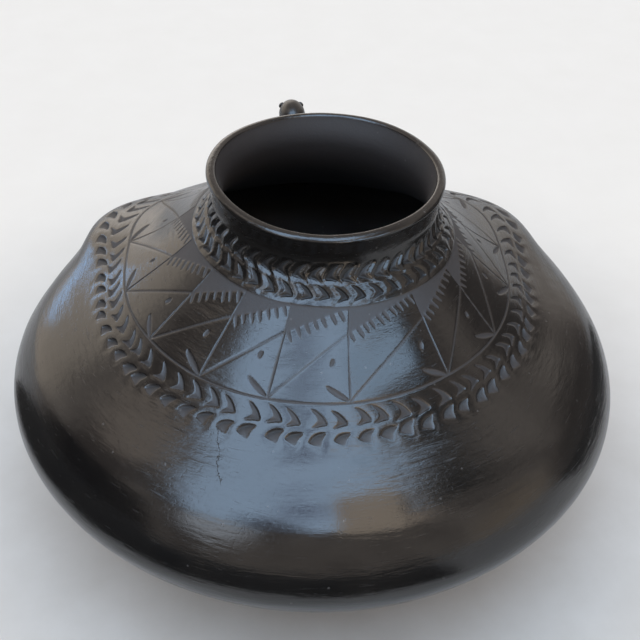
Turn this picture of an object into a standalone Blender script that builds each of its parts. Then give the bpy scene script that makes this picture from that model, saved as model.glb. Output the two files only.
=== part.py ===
"""Hand-built, burnished black jar with a small bird effigy on its back shoulder.

The jar is modelled the way the potter raises it: a base bowl, then rings of clay
laid on one another with slanted lap seams, and the effigy luted on last.
It stands on its foot at the origin, with +Z up and the effigy at +Y.
"""
import math

import bmesh
import bpy
from mathutils import Vector

# Outline of the jar: the belly's radius, how far each station above or below it lies
# inside the one before, and the rise that leads up to each
BELLY_RADIUS = 0.1264
SHOULDER_INSET = 0.0102
BAND_INSET = 0.0254
PANEL_INSET = 0.0132
NECK_INSET = 0.0255
WAIST_INSET = 0.0079
MOUTH_FLARE = 0.0023
LOWER_INSET = 0.0166
HEEL_INSET = 0.0258
FOOT_INSET = 0.04
HEEL_RISE = 0.015
LOWER_RISE = 0.025
BELLY_RISE = 0.027
SHOULDER_RISE = 0.024
BAND_RISE = 0.0152
PANEL_RISE = 0.0094
NECK_RISE = 0.0216
WAIST_RISE = 0.0133
LIP_RISE = 0.0115

# Walls, and the slanted seams between the rings of clay
LIP_WALL = 0.004
BODY_WALL = 0.005
BASE_WALL = 0.007
SEAM_LAP = 0.002
SEAM_GAP = 0.00036

# Two haunches are pushed out of the band, either side of the effigy; the left one stands
# over a hollowed flank
HAUNCH_RIGHT_ANGLE = math.radians(60)
HAUNCH_RIGHT_SPREAD = math.radians(19.5)
HAUNCH_RIGHT_PUSH = 0.0159
HAUNCH_RIGHT_REACH = 0.0201
HAUNCH_LEFT_ANGLE = math.radians(54)
HAUNCH_LEFT_SPREAD = math.radians(18)
HAUNCH_LEFT_PUSH = 0.0169
HAUNCH_LEFT_REACH = 0.0182
FLANK_HOLLOW = 0.007
FLANK_REACH = 0.04
BLEND = 0.006

# The neck was set on slightly off centre and leaning, and its lip is uneven
NECK_SHIFT_X = 0.0026
NECK_SHIFT_Y = 0.0015
NECK_LEAN = math.radians(1.5)
LIP_WAVE = 0.0006
LIP_WAVE_ANGLE = math.radians(-10)
LIP_RIPPLE = 0.0003
LIP_RIPPLE_ANGLE = math.radians(66)
LIP_OVAL = 0.0006
LIP_OVAL_ANGLE = math.radians(44)
LIP_WAVE_REACH = 0.009

# Bird effigy: a curved neck that rises from the shoulder, a head, a beak and two eye pellets
EFFIGY_SHARE = 0.323
EFFIGY_RISE = 0.0285
EFFIGY_ROOT_RADIUS = 0.0095
EFFIGY_THROAT_RADIUS = 0.0042
HEAD_FORWARD = 0.0035
HEAD_WIDTH = 0.0122
HEAD_LENGTH = 0.018
HEAD_HEIGHT = 0.0124
BEAK_LENGTH = 0.009
BEAK_RADIUS = 0.0032
BEAK_TIP_RADIUS = 0.0006
BEAK_SEAT = 0.002
BEAK_DROOP = math.radians(18)
EYE_RADIUS = 0.0016
EYE_TURN = math.radians(50)
EYE_LIFT = math.radians(20)
JOINT_GAP = 0.0003

# Fineness of the meshes
TURN_STEPS = 72
OUTLINE_STEPS = 24
ZONE_STEPS = 4
HAUNCH_STEPS = 7
LIP_STEPS = 4
NECK_RINGS = 12
TUBE_RESOLUTION = 4
HEAD_SEGMENTS = 20
EYE_SEGMENTS = 12
SHARP_ANGLE = math.radians(40)
WELD_DISTANCE = 0.00001

CLAY_BLACK = (0.022, 0.021, 0.021, 1.0)
POLISHED = 0.28
SCRAPED = 0.55

# Rings of clay from the lip down; each lies between two stations of the outline
RING_NAMES = (
    "lip_coil", "collar_coil", "panel_coil", "band_coil", "haunch_coil",
    "shoulder_coil", "belly_coil", "lower_coil", "base_bowl",
)


def clear_scene():
    for item in list(bpy.data.objects):
        bpy.data.objects.remove(item, do_unlink=True)


def new_collection(name):
    collection = bpy.data.collections.new(name)
    bpy.context.scene.collection.children.link(collection)
    return collection


def outline_stations():
    """Outline stations as (radius, height), from the lip down to the foot."""
    shoulder = BELLY_RADIUS - SHOULDER_INSET
    band = shoulder - BAND_INSET
    panel = band - PANEL_INSET
    neck = panel - NECK_INSET
    waist = neck - WAIST_INSET
    mouth = waist + MOUTH_FLARE
    lower = BELLY_RADIUS - LOWER_INSET
    heel = lower - HEEL_INSET
    foot = heel - FOOT_INSET
    radii = (foot, heel, lower, BELLY_RADIUS, shoulder, band, panel, neck, waist, mouth)
    rises = (
        0.0, HEEL_RISE, LOWER_RISE, BELLY_RISE, SHOULDER_RISE,
        BAND_RISE, PANEL_RISE, NECK_RISE, WAIST_RISE, LIP_RISE,
    )
    height = 0.0
    stations = []
    for radius, rise in zip(radii, rises):
        height += rise
        stations.append(Vector((radius, height)))
    stations.reverse()
    return stations


def smooth_line(points, steps):
    """Catmull-Rom curve through the points, with the given steps between each two."""
    first = 2 * points[0] - points[1]
    last = 2 * points[-1] - points[-2]
    knots = [first, *points, last]
    line = []
    for a, b, c, d in zip(knots, knots[1:], knots[2:], knots[3:]):
        for step in range(steps):
            t = step / steps
            line.append(0.5 * (
                2 * b + (c - a) * t
                + (2 * a - 5 * b + 4 * c - d) * t ** 2
                + (3 * b - a - 3 * c + d) * t ** 3
            ))
    line.append(points[-1].copy())
    return line


STATIONS = outline_stations()
LIP_TOP = STATIONS[0].y
NECK_BASE = STATIONS[2].y
PANEL_BASE = STATIONS[3].y
BAND = STATIONS[4]
SHOULDER = STATIONS[5]
BELLY_HEIGHT = STATIONS[6].y
LOWER_HEIGHT = STATIONS[7].y
LAST_STATION = len(STATIONS) - 1
OUTLINE = smooth_line(STATIONS, OUTLINE_STEPS)


def outline_point(place):
    """Point of the outer outline at a place counted in stations from the lip."""
    index = min(max(place * OUTLINE_STEPS, 0.0), len(OUTLINE) - 1)
    low = min(int(index), len(OUTLINE) - 2)
    return OUTLINE[low].lerp(OUTLINE[low + 1], index - low)


def outline_speed(place):
    """Length of outline per station, and its downward direction, at a place."""
    half = 0.5 / OUTLINE_STEPS
    low = max(place - half, 0.0)
    high = min(place + half, LAST_STATION)
    step = outline_point(high) - outline_point(low)
    return step.length / (high - low), step.normalized()


def wall_at(place):
    """Wall thickness: thin at the lip, even in the body, thicker at the base."""
    if place < 2:
        return LIP_WALL + (BODY_WALL - LIP_WALL) * place / 2
    if place > LAST_STATION - 1:
        return BODY_WALL + (BASE_WALL - BODY_WALL) * (place - LAST_STATION + 1)
    return BODY_WALL


def offset_point(place, depth):
    """Point at a depth below the outer outline, square to it."""
    down = outline_speed(place)[1]
    inward = Vector((down.y, -down.x))
    return outline_point(place) + inward * depth


def zone_steps(index):
    """Steps of outline in a zone; the haunches need more than the plain zones."""
    return HAUNCH_STEPS if RING_NAMES[index] == "haunch_coil" else ZONE_STEPS


def ring_profile(index):
    """Closed section of one ring of clay, down its outer side and up its inner side."""
    top_speed = outline_speed(index)[0]
    end_speed = outline_speed(index + 1)[0]
    half_gap = SEAM_GAP / 2
    is_lip = index == 0
    is_base = index == LAST_STATION - 1
    top = LIP_WALL / 2 / top_speed if is_lip else index + half_gap / top_speed
    end = LAST_STATION if is_base else index + 1 - half_gap / end_speed
    top_inner = top if is_lip else top + SEAM_LAP / top_speed
    end_inner = end if is_base else end + SEAM_LAP / end_speed
    steps = zone_steps(index)
    shares = [step / steps for step in range(steps + 1)]
    outer = [outline_point(top + (end - top) * share) for share in shares]
    inner = []
    for share in reversed(shares):
        place = top_inner + (end_inner - top_inner) * share
        inner.append(offset_point(place, wall_at(place)))
    if is_base:
        return [Vector((0.0, inner[0].y)), *inner, *outer, Vector((0.0, 0.0))]
    if is_lip:
        return [*outer, *inner, *lip_arc(inner[-1], outer[0])]
    return [*outer, *inner]


def lip_arc(inner, outer):
    """Points of the rounded lip, over the top from the inner edge to the outer one."""
    centre = (inner + outer) / 2
    across = inner - centre
    up = Vector((across.y, -across.x))
    arc = []
    for step in range(1, LIP_STEPS):
        angle = math.pi * step / LIP_STEPS
        arc.append(centre + across * math.cos(angle) + up * math.sin(angle))
    return arc


def turn(name, profile, closed):
    """Turn a profile of (radius, height) points about Z into a mesh."""
    mesh = bpy.data.meshes.new(name)
    count = len(profile)
    edges = [(i, i + 1) for i in range(count - 1)]
    if closed:
        edges.append((count - 1, 0))
    mesh.from_pydata([(p.x, 0.0, p.y) for p in profile], edges, [])
    blank = bpy.data.objects.new(name + "_profile", mesh)
    bpy.context.scene.collection.objects.link(blank)
    screw = blank.modifiers.new("turn", "SCREW")
    screw.axis = "Z"
    screw.angle = 2 * math.pi
    screw.steps = TURN_STEPS
    screw.render_steps = TURN_STEPS
    screw.use_merge_vertices = True
    screw.merge_threshold = WELD_DISTANCE
    graph = bpy.context.evaluated_depsgraph_get()
    turned = bpy.data.meshes.new_from_object(blank.evaluated_get(graph))
    turned.name = name
    bpy.data.objects.remove(blank, do_unlink=True)
    bpy.data.meshes.remove(mesh)
    return turned


def angle_gap(angle, centre):
    """Signed angle from a centre, between minus and plus half a turn."""
    return math.remainder(angle - centre, 2 * math.pi)


def bell(distance, reach):
    return math.exp(-(distance / reach) ** 2)


def share_above(level, height):
    """Nought below a level and one above it, with a soft change between."""
    return 1 / (1 + math.exp((level - height) / BLEND))


def press(point):
    """Where a point of the evenly turned jar lies once it is shaped by hand."""
    radius = math.hypot(point.x, point.y)
    height = point.z
    angle = math.atan2(point.y, point.x)
    back = math.pi / 2
    right = bell(angle_gap(angle, back - HAUNCH_RIGHT_ANGLE), HAUNCH_RIGHT_SPREAD)
    left = bell(angle_gap(angle, back + HAUNCH_LEFT_ANGLE), HAUNCH_LEFT_SPREAD)

    # The haunches follow the slope of the band, so both faces of the wall move alike
    slope = outline_speed(STATIONS.index(BAND))[1]
    along = (Vector((radius, height)) - BAND).dot(slope)
    haunch = HAUNCH_RIGHT_PUSH * right * bell(along, HAUNCH_RIGHT_REACH)
    haunch += HAUNCH_LEFT_PUSH * left * bell(along, HAUNCH_LEFT_REACH)
    haunch *= share_above(BELLY_HEIGHT, height)
    flank_height = (BELLY_HEIGHT + LOWER_HEIGHT) / 2
    hollow = FLANK_HOLLOW * left * bell(height - flank_height, FLANK_REACH)
    pushed = radius + haunch - hollow * radius / BELLY_RADIUS

    neck = share_above((NECK_BASE + PANEL_BASE) / 2, height)
    lip = bell(height - LIP_TOP, LIP_WAVE_REACH)
    pushed += lip * LIP_OVAL * math.cos(2 * (angle - LIP_OVAL_ANGLE))
    x = pushed * math.cos(angle) + neck * NECK_SHIFT_X
    y = pushed * math.sin(angle) + neck * NECK_SHIFT_Y
    wave = LIP_WAVE * math.cos(2 * (angle - LIP_WAVE_ANGLE))
    wave += LIP_RIPPLE * math.cos(3 * (angle - LIP_RIPPLE_ANGLE))
    return Vector((x, y, height - neck * math.tan(NECK_LEAN) * x + lip * wave))


def press_mesh(mesh):
    for vertex in mesh.vertices:
        vertex.co = press(vertex.co)


def clay(name, roughness):
    """Fired black clay for one piece, polished or left scraped."""
    material = bpy.data.materials.new(name + "_clay")
    material.use_nodes = True
    shader = material.node_tree.nodes["Principled BSDF"]
    shader.inputs["Base Color"].default_value = CLAY_BLACK
    shader.inputs["Roughness"].default_value = roughness
    shader.inputs["Metallic"].default_value = 0.0
    return material


def add_part(name, mesh, collection, roughness=POLISHED):
    mesh.materials.clear()
    mesh.materials.append(clay(name, roughness))
    mesh.shade_smooth()
    mesh.set_sharp_from_angle(angle=SHARP_ANGLE)
    part = bpy.data.objects.new(name, mesh)
    collection.objects.link(part)
    return part


def add_cutter(name, mesh, collection):
    cutter = bpy.data.objects.new(name, mesh)
    cutter.hide_render = True
    cutter.display_type = "WIRE"
    collection.objects.link(cutter)
    return cutter


def cut(part, cutter):
    boolean = part.modifiers.new("seat_on_" + cutter.name, "BOOLEAN")
    boolean.operation = "DIFFERENCE"
    boolean.solver = "EXACT"
    boolean.object = cutter


def build_jar(parts):
    """The base bowl and the rings of clay above it."""
    for index, name in enumerate(RING_NAMES):
        is_base = index == LAST_STATION - 1
        mesh = turn(name, ring_profile(index), closed=not is_base)
        press_mesh(mesh)
        add_part(name, mesh, parts, SCRAPED if is_base else POLISHED)


def jar_cutter(cutters):
    """The jar's outer form, grown by the joint gap, that what is luted on is cut with."""
    places = []
    for index in range(LAST_STATION):
        steps = zone_steps(index)
        places += [index + step / steps for step in range(steps)]
    places.append(LAST_STATION)
    skin = [offset_point(place, -JOINT_GAP) for place in places]
    profile = [Vector((0.0, skin[0].y)), *skin, Vector((0.0, skin[-1].y))]
    mesh = turn("jar_form", profile, closed=False)
    press_mesh(mesh)
    return add_cutter("jar_form", mesh, cutters)


def shoulder_height(reach):
    """Height of the jar's outer face at a distance from the axis, above its belly."""
    belly = STATIONS.index(BAND) + 2
    steps = OUTLINE_STEPS * belly
    nearest = min(OUTLINE[:steps], key=lambda point: abs(point.x - reach))
    return nearest.y


def effigy_reach():
    """Distance of the effigy from the axis, a share of the way from the band to the shoulder."""
    return BAND.x + EFFIGY_SHARE * (SHOULDER.x - BAND.x)


def head_centre():
    height = shoulder_height(effigy_reach()) + EFFIGY_RISE
    return Vector((0.0, effigy_reach() + HEAD_FORWARD, height))


def ellipsoid(name, size, segments):
    mesh = bpy.data.meshes.new(name)
    ball = bmesh.new()
    bmesh.ops.create_uvsphere(ball, u_segments=segments, v_segments=segments // 2, radius=0.5)
    bmesh.ops.scale(ball, vec=size, verts=ball.verts)
    ball.to_mesh(mesh)
    ball.free()
    return mesh


def tapered_tube(name, points, radii):
    """Mesh of a tube along the points, as thick as the radii say, with closed ends."""
    curve = bpy.data.curves.new(name + "_line", "CURVE")
    curve.dimensions = "3D"
    curve.bevel_depth = 1.0
    curve.bevel_resolution = TUBE_RESOLUTION
    curve.use_fill_caps = True
    spline = curve.splines.new("POLY")
    spline.points.add(len(points) - 1)
    for knot, point, radius in zip(spline.points, points, radii):
        knot.co = (*point, 1.0)
        knot.radius = radius
    line = bpy.data.objects.new(name + "_line", curve)
    bpy.context.scene.collection.objects.link(line)
    graph = bpy.context.evaluated_depsgraph_get()
    mesh = bpy.data.meshes.new_from_object(line.evaluated_get(graph))
    bpy.data.objects.remove(line, do_unlink=True)
    weld = bmesh.new()
    weld.from_mesh(mesh)
    bmesh.ops.remove_doubles(weld, verts=weld.verts, dist=WELD_DISTANCE)
    bmesh.ops.recalc_face_normals(weld, faces=weld.faces)
    weld.to_mesh(mesh)
    weld.free()
    return mesh


def build_neck(centre, cutters, parts):
    """The effigy's neck rises out of the shoulder, narrowing, and ends in the head."""
    root_height = centre.z - EFFIGY_RISE - 2 * BODY_WALL
    root = Vector((0.0, effigy_reach() - EFFIGY_ROOT_RADIUS / 2, root_height))
    throat = centre - Vector((0.0, HEAD_FORWARD, 0.0))
    swell = EFFIGY_ROOT_RADIUS - EFFIGY_THROAT_RADIUS
    points = []
    radii = []
    for step in range(NECK_RINGS + 1):
        share = step / NECK_RINGS
        bow = Vector((0.0, math.sin(math.pi * share) * EFFIGY_THROAT_RADIUS / 2, 0.0))
        points.append(root.lerp(throat, share) - bow)
        radii.append(EFFIGY_THROAT_RADIUS + swell * (1 - share) ** 2)
    neck = add_part("effigy_neck", tapered_tube("effigy_neck", points, radii), parts)
    for cutter in cutters:
        cut(neck, cutter)


def build_beak(centre, head_form, parts):
    """A short blunt cone that points away from the jar and droops a little."""
    mesh = bpy.data.meshes.new("effigy_beak")
    cone = bmesh.new()
    bmesh.ops.create_cone(
        cone, cap_ends=True, segments=EYE_SEGMENTS,
        radius1=BEAK_RADIUS, radius2=BEAK_TIP_RADIUS, depth=BEAK_LENGTH,
    )
    cone.to_mesh(mesh)
    cone.free()
    beak = add_part("effigy_beak", mesh, parts)
    beak.rotation_euler = (-math.pi / 2 - BEAK_DROOP, 0.0, 0.0)
    aim = Vector((0.0, math.cos(BEAK_DROOP), -math.sin(BEAK_DROOP)))
    front = centre + Vector((0.0, HEAD_LENGTH / 2 - BEAK_SEAT, 0.0))
    beak.location = front + aim * BEAK_LENGTH / 2
    cut(beak, head_form)


def build_eye(name, side, centre, head_form, parts):
    """A pellet of clay pressed on the side of the head, a little forward and up."""
    size = Vector((2, 2, 2)) * EYE_RADIUS
    eye = add_part(name, ellipsoid(name, size, EYE_SEGMENTS), parts)
    aim = Vector((side * math.sin(EYE_TURN), math.cos(EYE_TURN), math.tan(EYE_LIFT)))
    aim.normalize()
    eye.location = centre + Vector((aim.x * HEAD_WIDTH, aim.y * HEAD_LENGTH, aim.z * HEAD_HEIGHT)) / 2
    cut(eye, head_form)


def build_effigy(parts, cutters):
    """The bird: its neck is seated on the shoulder and carries the head."""
    centre = head_centre()
    wall = jar_cutter(cutters)
    size = Vector((HEAD_WIDTH, HEAD_LENGTH, HEAD_HEIGHT))
    grown = size + Vector((2, 2, 2)) * JOINT_GAP
    head_form = add_cutter("head_form", ellipsoid("head_form", grown, HEAD_SEGMENTS), cutters)
    head_form.location = centre
    build_neck(centre, (wall, head_form), parts)
    head = add_part("effigy_head", ellipsoid("effigy_head", size, HEAD_SEGMENTS), parts)
    head.location = centre
    build_beak(centre, head_form, parts)
    build_eye("effigy_eye_left", -1, centre, head_form, parts)
    build_eye("effigy_eye_right", 1, centre, head_form, parts)


clear_scene()
parts_collection = new_collection("effigy_pot")
cutters_collection = new_collection("cutters")
build_jar(parts_collection)
build_effigy(parts_collection, cutters_collection)
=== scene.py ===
"""Looks of the burnished black effigy jar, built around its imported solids.

The file follows the jar as it is made: the plain clay wall from the base up, the
carved shoulder band, the incised panel, the carved neck band and the lip, then the
bird effigy, and last the floor, the light and the camera.
"""
import math

import bmesh
import bpy
import numpy as np
from mathutils import Matrix, Vector


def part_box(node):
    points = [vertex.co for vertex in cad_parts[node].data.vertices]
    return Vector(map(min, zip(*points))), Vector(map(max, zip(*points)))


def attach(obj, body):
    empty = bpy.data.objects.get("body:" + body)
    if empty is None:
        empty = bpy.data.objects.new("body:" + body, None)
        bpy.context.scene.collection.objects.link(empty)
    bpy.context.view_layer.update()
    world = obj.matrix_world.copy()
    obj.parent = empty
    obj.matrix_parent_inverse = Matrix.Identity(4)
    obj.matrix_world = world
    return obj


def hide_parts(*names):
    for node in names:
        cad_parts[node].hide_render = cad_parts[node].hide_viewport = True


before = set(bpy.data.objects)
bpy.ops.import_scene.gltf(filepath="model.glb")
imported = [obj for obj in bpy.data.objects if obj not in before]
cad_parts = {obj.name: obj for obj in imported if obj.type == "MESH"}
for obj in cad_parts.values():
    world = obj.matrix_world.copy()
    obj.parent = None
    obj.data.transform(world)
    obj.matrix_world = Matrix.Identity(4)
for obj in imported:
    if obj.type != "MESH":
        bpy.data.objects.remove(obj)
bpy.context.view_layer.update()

# The clay wall.
# A hand-built jar: rings of black clay laid on a base bowl, pushed out into two haunches
# beside the effigy, then burnished with a pebble that leaves low, uneven facets.
STATIONS = np.array([
    (0.0465, 0.1620), (0.0442, 0.1505), (0.0521, 0.1372), (0.0776, 0.1156),
    (0.0908, 0.1062), (0.1162, 0.0910), (0.1264, 0.0670), (0.1098, 0.0400),
    (0.0840, 0.0150), (0.0440, 0.0000),
])
STATION_STEPS = 60
LIP_WALL = 0.004
BODY_WALL = 0.005
BASE_WALL = 0.007
SEAM_LAP = 0.002
BELLY_RADIUS, BELLY_HEIGHT = STATIONS[6]
NECK_MIDDLE = (STATIONS[2][1] + STATIONS[3][1]) / 2
FLANK_HEIGHT = (STATIONS[6][1] + STATIONS[7][1]) / 2
BACK = math.pi / 2
HAUNCHES = (  # angle from the X axis, spread, push, reach down the wall, hollow below
    (BACK - math.radians(60), math.radians(19.5), 0.0159, 0.0201, 0.0),
    (BACK + math.radians(54), math.radians(18), 0.0169, 0.0182, 0.007),
)
FLANK_REACH = 0.04
BLEND = 0.006
NECK_SHIFT = (0.0026, 0.0015)
NECK_LEAN = math.tan(math.radians(1.5))
LIP_WAVE_REACH = 0.009
LIP_OVAL, LIP_OVAL_ANGLE = 0.0006, math.radians(44)
LIP_WAVES = ((2, math.radians(-10), 0.0006), (3, math.radians(66), 0.0003))
TURN = 2 * math.pi


def curve_through(points, steps):
    """Catmull-Rom curve through a line of points."""
    knots = np.vstack([2 * points[0] - points[1], points, 2 * points[-1] - points[-2]])
    t = (np.arange(steps) / steps)[:, None]
    curve = [
        0.5 * (2 * b + (c - a) * t + (2 * a - 5 * b + 4 * c - d) * t**2
               + (3 * b - a - 3 * c + d) * t**3)
        for a, b, c, d in zip(knots, knots[1:], knots[2:], knots[3:])
    ]
    return np.vstack([*curve, points[-1:]])


OUTLINE = curve_through(STATIONS, STATION_STEPS)
DOWN = np.concatenate([[0.0], np.cumsum(np.hypot(*np.diff(OUTLINE, axis=0).T))])
SLOPE = np.gradient(OUTLINE, DOWN, axis=0)
STATION_DOWN = DOWN[::STATION_STEPS]
BAND_SLOPE = SLOPE[4 * STATION_STEPS] / np.hypot(*SLOPE[4 * STATION_STEPS])


def outline_at(down):
    """Radius, height and unit slope of the outer outline, at a distance down from the lip."""
    radius, height = (np.interp(down, DOWN, OUTLINE[:, i]) for i in (0, 1))
    out, up = (np.interp(down, DOWN, SLOPE[:, i]) for i in (0, 1))
    length = np.hypot(out, up)
    return radius, height, out / length, up / length


def sunk(down, depth):
    """Radius and height of the wall before it is pressed, at a depth below its outer face."""
    radius, height, out, up = outline_at(down)
    return radius + up * depth, height - out * depth


def wall_at(down):
    """Wall thickness: thin at the lip, even in the body, thicker at the base."""
    places = (STATION_DOWN[0], STATION_DOWN[2], STATION_DOWN[8], STATION_DOWN[9])
    return np.interp(down, places, (LIP_WALL, BODY_WALL, BODY_WALL, BASE_WALL))


def bell(distance, reach):
    return np.exp(-(distance / reach) ** 2)


def share_above(level, height):
    return 1 / (1 + np.exp((level - height) / BLEND))


def angle_gap(angle, centre):
    return (angle - centre + math.pi) % TURN - math.pi


def press(radius, height, angle):
    """Where a point of the evenly turned jar lies once it is shaped by hand."""
    along = (radius - STATIONS[4][0]) * BAND_SLOPE[0] + (height - STATIONS[4][1]) * BAND_SLOPE[1]
    above = share_above(BELLY_HEIGHT, height)
    below = bell(height - FLANK_HEIGHT, FLANK_REACH) * radius / BELLY_RADIUS
    pushed = radius
    for centre, spread, push, reach, hollow in HAUNCHES:
        near = bell(angle_gap(angle, centre), spread)
        pushed = pushed + near * (push * bell(along, reach) * above - hollow * below)
    neck = share_above(NECK_MIDDLE, height)
    lip = bell(height - STATIONS[0][1], LIP_WAVE_REACH)
    pushed = pushed + lip * LIP_OVAL * np.cos(2 * (angle - LIP_OVAL_ANGLE))
    x = pushed * np.cos(angle) + neck * NECK_SHIFT[0]
    y = pushed * np.sin(angle) + neck * NECK_SHIFT[1]
    wave = sum(size * np.cos(turns * (angle - crest)) for turns, crest, size in LIP_WAVES)
    return np.stack([x, y, height - neck * NECK_LEAN * x + lip * wave], -1)


hand = np.random.default_rng(11)
SWELLS = [  # turns round the jar, wave length down it, phase, height
    (int(hand.integers(1, 9)), hand.uniform(0.03, 0.12), hand.uniform(0, TURN), 0.00006)
    for _ in range(14)
] + [
    (int(hand.integers(4, 22)), hand.uniform(0.009, 0.022), hand.uniform(0, TURN), 0.000016)
    for _ in range(16)
]


def uneven(down, angle):
    """Depth of the low facets and dips that building and burnishing by hand leave."""
    depth = 0.0
    for turns, length, phase, height in SWELLS:
        depth = depth + height * (1 + np.sin(turns * angle + down * TURN / length + phase)) / 2
    return depth * np.clip((DOWN[-1] - down) / 0.02, 0, 1)


def plain(down, angle):
    """Depth and bareness of a wall with no carving on it."""
    return np.zeros(np.broadcast(down, angle).shape), np.zeros(np.broadcast(down, angle).shape)


def outer_skin(down, angle, carving):
    cut, bare = carving(down, angle)
    return press(*sunk(down, cut + uneven(down, angle)), angle), bare, cut


def inner_depth(down, angle):
    return wall_at(down) + 0.6 * uneven(down + 0.013, -angle)


def inner_skin(down, angle):
    return press(*sunk(down, inner_depth(down, angle)), angle)


def square_to(skin, down, angle):
    """Unit normals of a skin, from small steps along and across it."""
    step = 0.0002
    turn = step / outline_at(down)[0]
    along = skin(down + step, angle) - skin(down - step, angle)
    across = skin(down, angle + turn) - skin(down, angle - turn)
    normal = np.cross(along, across)
    return normal / np.linalg.norm(normal, axis=-1, keepdims=True)


def placed(name, data):
    """An object for a mesh or a camera, put in the scene."""
    piece = bpy.data.objects.new(name, data)
    bpy.context.scene.collection.objects.link(piece)
    return piece


class Wall:
    """A closed ring of wall that is gathered row by row, outer side down, inner side up."""

    def __init__(self):
        self.points, self.bare, self.cut, self.normals, self.inside = [], [], [], [], []
        self.rows, self.faces, self.angles, self.places = [], [], [], []
        self.count = 0
        self.place = 0.0

    def add_row(self, points, bare=0.0, normals=None, inside=0.0, cut=0.0):
        columns = len(points)
        if self.rows:
            self.place += np.linalg.norm(points[0] - self.points[-1][0])
        self.rows.append((self.count, columns, self.place))
        self.points.append(points)
        self.bare.append(np.broadcast_to(bare, columns))
        self.cut.append(np.broadcast_to(cut, columns) * 1000)
        self.normals.append(np.zeros((columns, 3)) if normals is None else normals)
        self.inside.append(np.full(columns, inside))
        self.count += columns

    def join(self, top, low):
        """Faces between two rows; one may have a whole number of times the other's points."""
        (a, many_a, place_a), (b, many_b, place_b) = top, low
        coarse = min(many_a, many_b)
        fine = max(many_a, many_b)
        share = fine // coarse
        j = np.arange(coarse)
        step = TURN / fine
        if share == 1:
            k = (j + 1) % fine
            self.faces.append(np.stack([a + j, b + j, b + k, a + k], 1))
            self.angles.append(np.stack([j, j, j + 1, j + 1], 1) * step)
            self.places.append(np.broadcast_to([place_a, place_b, place_b, place_a], (fine, 4)))
            return
        if many_a == fine:
            many, few, place_many, place_few, order = a, b, place_a, place_b, (0, 1, 2)
        else:
            many, few, place_many, place_few, order = b, a, place_b, place_a, (1, 0, 2)
        half = share // 2

        def add(*corners):
            """Triangles with corners given as (first point, number, turn, place)."""
            corners = [corners[i] for i in order]
            self.faces.append(np.stack([first + number for first, number, _, _ in corners], 1))
            self.angles.append(np.stack([turn for _, _, turn, _ in corners], 1) * step)
            self.places.append(np.broadcast_to([c[3] for c in corners], (coarse, 3)))

        for i in range(share):
            near, far, hub = j * share + i, j * share + i + 1, j + (i >= half)
            add((many, near, near, place_many), (few, hub % coarse, hub * share, place_few),
                (many, far % fine, far, place_many))
        middle = j * share + half
        add((many, middle, middle, place_many), (few, j, j * share, place_few),
            (few, (j + 1) % coarse, (j + 1) * share, place_few))

    def close(self, name, ring=True):
        """The finished mesh object."""
        for top, low in zip(self.rows, self.rows[1:]):
            self.join(top, low)
        if ring:
            start, many, place = self.rows[0]
            self.place += np.linalg.norm(self.points[0][0] - self.points[len(self.rows) - 1][0])
            self.join(self.rows[-1], (start, many, self.place))
        points = np.concatenate(self.points)
        sizes = np.concatenate([np.full(len(f), f.shape[1]) for f in self.faces])
        corners = np.concatenate([f.ravel() for f in self.faces])
        mesh = bpy.data.meshes.new(name)
        mesh.vertices.add(len(points))
        mesh.vertices.foreach_set("co", points.astype(np.float32).ravel())
        mesh.loops.add(len(corners))
        mesh.loops.foreach_set("vertex_index", corners.astype(np.int32))
        mesh.polygons.add(len(sizes))
        starts = np.concatenate([[0], np.cumsum(sizes)[:-1]])
        mesh.polygons.foreach_set("loop_start", starts.astype(np.int32))
        mesh.polygons.foreach_set("loop_total", sizes.astype(np.int32))
        mesh.update(calc_edges=True)
        mesh.shade_smooth()
        for word, values in (("bare", self.bare), ("cut", self.cut), ("inside", self.inside)):
            mark = mesh.attributes.new(word, "FLOAT", "POINT")
            mark.data.foreach_set("value", np.concatenate(values).astype(np.float32))
        self.unroll(mesh)
        mesh.normals_split_custom_set_from_vertices(np.concatenate(self.normals))
        return placed(name, mesh)

    def unroll(self, mesh):
        """Lays the ring out flat in a few strips, one above another."""
        angles = np.concatenate([a.ravel() for a in self.angles])
        places = np.concatenate([p.ravel() for p in self.places])
        middles = np.concatenate([np.repeat(a.mean(1), a.shape[1]) for a in self.angles])
        girth = TURN * max(np.hypot(p[:, 0], p[:, 1]).max() for p in self.points)
        spacing, margin = 1.04, 0.01
        height = places.max() * spacing
        strips = min((1, 2, 3, 4, 5, 6, 8), key=lambda n: max(girth / n, n * height))
        scale = (1 - 2 * margin) / max(girth / strips, strips * height)
        strip = np.floor(middles * strips / TURN).clip(0, strips - 1)
        u = (angles / TURN - strip / strips) * girth * scale + margin
        v = (places + strip * height) * scale + margin
        flat = mesh.uv_layers.new(name="OFBake")
        flat.data.foreach_set("uv", np.stack([u, v], 1).astype(np.float32).ravel())


def rows_between(top, end, gap):
    return np.linspace(top, end, max(2, int(round((end - top) / gap)) + 1))


def round_angles(columns):
    return np.arange(columns) * TURN / columns


def add_outer(wall, downs, columns, carving=plain):
    """Outer rows of a ring; its first and last row keep the skin's own normal."""
    def skin(down, angle):
        return outer_skin(down, angle, carving)[0]
    for i, (down, count) in enumerate(zip(downs, np.broadcast_to(columns, len(downs)))):
        angle = round_angles(int(count))
        points, bare, cut = outer_skin(down, angle, carving)
        edge = i in (0, len(downs) - 1)
        normals = square_to(skin, down, angle) if edge else None
        wall.add_row(points, bare, normals, 0.0, cut)


def add_inner(wall, downs, columns):
    """Inner rows of a ring, from its lower edge up."""
    for i, down in enumerate(downs[::-1]):
        angle = round_angles(columns)
        edge = i in (0, len(downs) - 1)
        normals = -square_to(inner_skin, down, angle) if edge else None
        wall.add_row(inner_skin(down, angle), 0.0, normals, inside=1.0)


PLAIN_COLUMNS = 480
INNER_COLUMNS = 240
INNER_GAP = 0.003


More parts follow.
